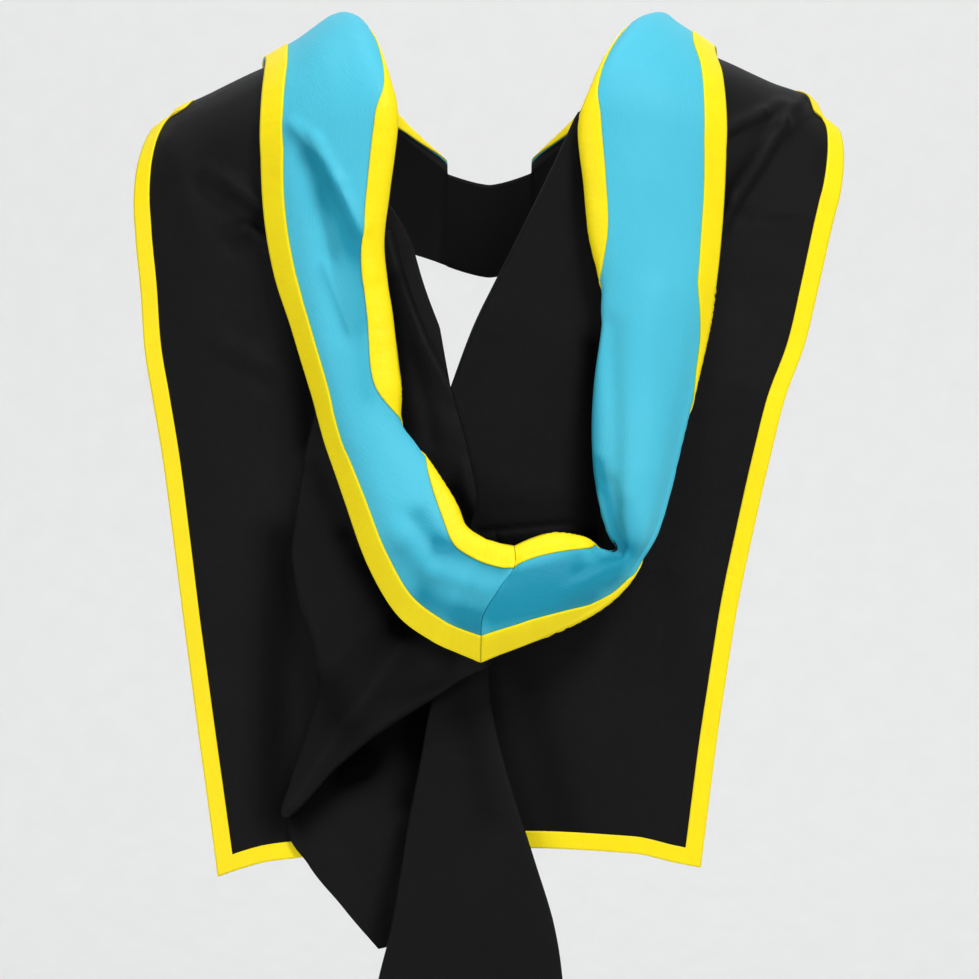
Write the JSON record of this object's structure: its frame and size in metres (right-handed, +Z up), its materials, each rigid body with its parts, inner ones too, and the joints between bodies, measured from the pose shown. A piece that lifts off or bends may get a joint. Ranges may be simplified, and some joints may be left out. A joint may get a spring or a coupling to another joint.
{
  "type": "academic hood",
  "caption": "Full-shape academic hood as worn: black cape, hanging pocket with a turned-out blue facing edged in yellow ribbon, and a tail.",
  "frame": {"origin": "middle of the neck opening, level with the top of the turned-out loop on the shoulders", "axes": "+Z up, +Y the way the wearer faces, +X to the right as seen from behind"},
  "size_m": [0.502, 0.3113, 0.8109],
  "materials": {
    "shell_black": "fine matt weave",
    "facing_blue": "soft crepe with a low sheen",
    "ribbon_yellow": "ribbed ribbon with a soft sheen"
  },
  "bodies": {
    "root": {"cape_left": "shell_black", "cape_right": "shell_black", "cape_ribbon_left": "ribbon_yellow", "cape_ribbon_right": "ribbon_yellow", "pocket_back_left": "shell_black", "pocket_back_right": "shell_black", "cowl_left": "shell_black", "cowl_right": "shell_black", "facing_left": "facing_blue", "facing_right": "facing_blue", "inner_ribbon_left": "ribbon_yellow", "inner_ribbon_right": "ribbon_yellow", "outer_ribbon_left": "ribbon_yellow", "outer_ribbon_right": "ribbon_yellow", "liripipe": "shell_black", "neckband": "shell_black"}
  },
  "joints": []
}
